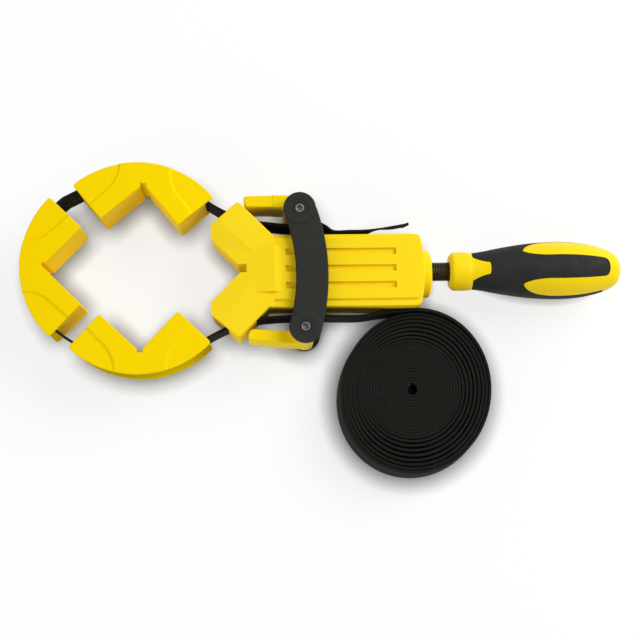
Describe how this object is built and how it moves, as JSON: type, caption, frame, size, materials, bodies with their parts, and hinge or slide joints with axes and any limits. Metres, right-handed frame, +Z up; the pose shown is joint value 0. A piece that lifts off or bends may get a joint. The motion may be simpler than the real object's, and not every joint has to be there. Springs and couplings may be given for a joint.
{
  "type": "ratchet band clamp",
  "caption": "Webbing band clamp: loose corner jaws and a V block round an open frame space, cam levers, screw handle and coiled spare strap.",
  "frame": {"origin": "on the underside of the lower bridge plate, in its middle, on the table", "axes": "+X along the screw from the V block to the handle, +Z up from the table, +Y towards the side away from the coil"},
  "size_m": [0.3283, 0.172, 0.043],
  "materials": {
    "yellow_body": "satin moulded",
    "yellow_jaw": "satin moulded",
    "yellow_lever": "satin moulded",
    "yellow_handle": "smooth moulded",
    "black_plate": "matt moulded",
    "soft_grip": "matt soft grip",
    "webbing": "woven webbing",
    "steel": "plain",
    "dark_steel": "oiled dark"
  },
  "bodies": {
    "housing": {"housing_upper": "yellow_body", "housing_lower": "yellow_body", "housing_screw_1": "steel", "housing_screw_2": "steel", "housing_screw_3": "steel", "housing_screw_4": "steel", "spindle_nut": "steel", "strap_loop": "webbing"},
    "carriage": {"bridge_plate_top": "black_plate", "bridge_plate_bottom": "black_plate", "anvil_upper": "black_plate", "anvil_lower": "black_plate", "crossbar": "steel", "rivet_upper": "steel", "rivet_lower": "steel", "strap_run_upper": "webbing", "strap_run_lower": "webbing", "strap_tail": "webbing", "strap_lead": "webbing", "strap_coil": "webbing"},
    "handle": {"spindle": "dark_steel", "thrust_washer": "steel", "retaining_clip": "steel", "handle_core": "yellow_handle", "handle_grip": "soft_grip"},
    "lever_upper": {"cam_lever_upper": "yellow_lever"},
    "lever_lower": {"cam_lever_lower": "yellow_lever"},
    "jaw_top": {"jaw_top": "yellow_jaw"},
    "jaw_left": {"jaw_left": "yellow_jaw"},
    "jaw_bottom": {"jaw_bottom": "yellow_jaw"}
  },
  "joints": [
    {"name": "carriage_slide", "type": "slide", "parent": "housing", "child": "carriage", "axis": [1, 0, 0], "range_m": [0, 0.038], "deforming": ["strap_run_upper", "strap_run_lower"]},
    {"name": "handle_turn", "type": "hinge", "parent": "carriage", "child": "handle", "pos_m": [0.1, 0, 0.0215], "axis": [-1, 0, 0], "range_deg": [0, 9120]},
    {"name": "lever_upper_turn", "type": "hinge", "parent": "carriage", "child": "lever_upper", "pos_m": [-0.00678, 0.03218, 0.0215], "axis": [0, 0, 1], "range_deg": [-95, 0]},
    {"name": "lever_lower_turn", "type": "hinge", "parent": "carriage", "child": "lever_lower", "pos_m": [-0.00442, -0.03218, 0.0215], "axis": [0, 0, 1], "range_deg": [0, 95]},
    {"name": "jaw_top_turn", "type": "hinge", "parent": "housing", "child": "jaw_top", "pos_m": [-0.0952, 0.0056, 0.0215], "axis": [0, 0, 1], "range_deg": [-5.5, 5.5]},
    {"name": "jaw_left_turn", "type": "hinge", "parent": "housing", "child": "jaw_left", "pos_m": [-0.1035, 0.0029, 0.0215], "axis": [0, 0, 1], "range_deg": [-5.5, 2]},
    {"name": "jaw_bottom_turn", "type": "hinge", "parent": "housing", "child": "jaw_bottom", "pos_m": [-0.0941, -0.0022, 0.0215], "axis": [0, 0, 1], "range_deg": [-2, 6]}
  ],
  "couplings": [
    {"joint": "handle_turn", "follows": "carriage_slide", "rad_per_m": 4188.8}
  ]
}
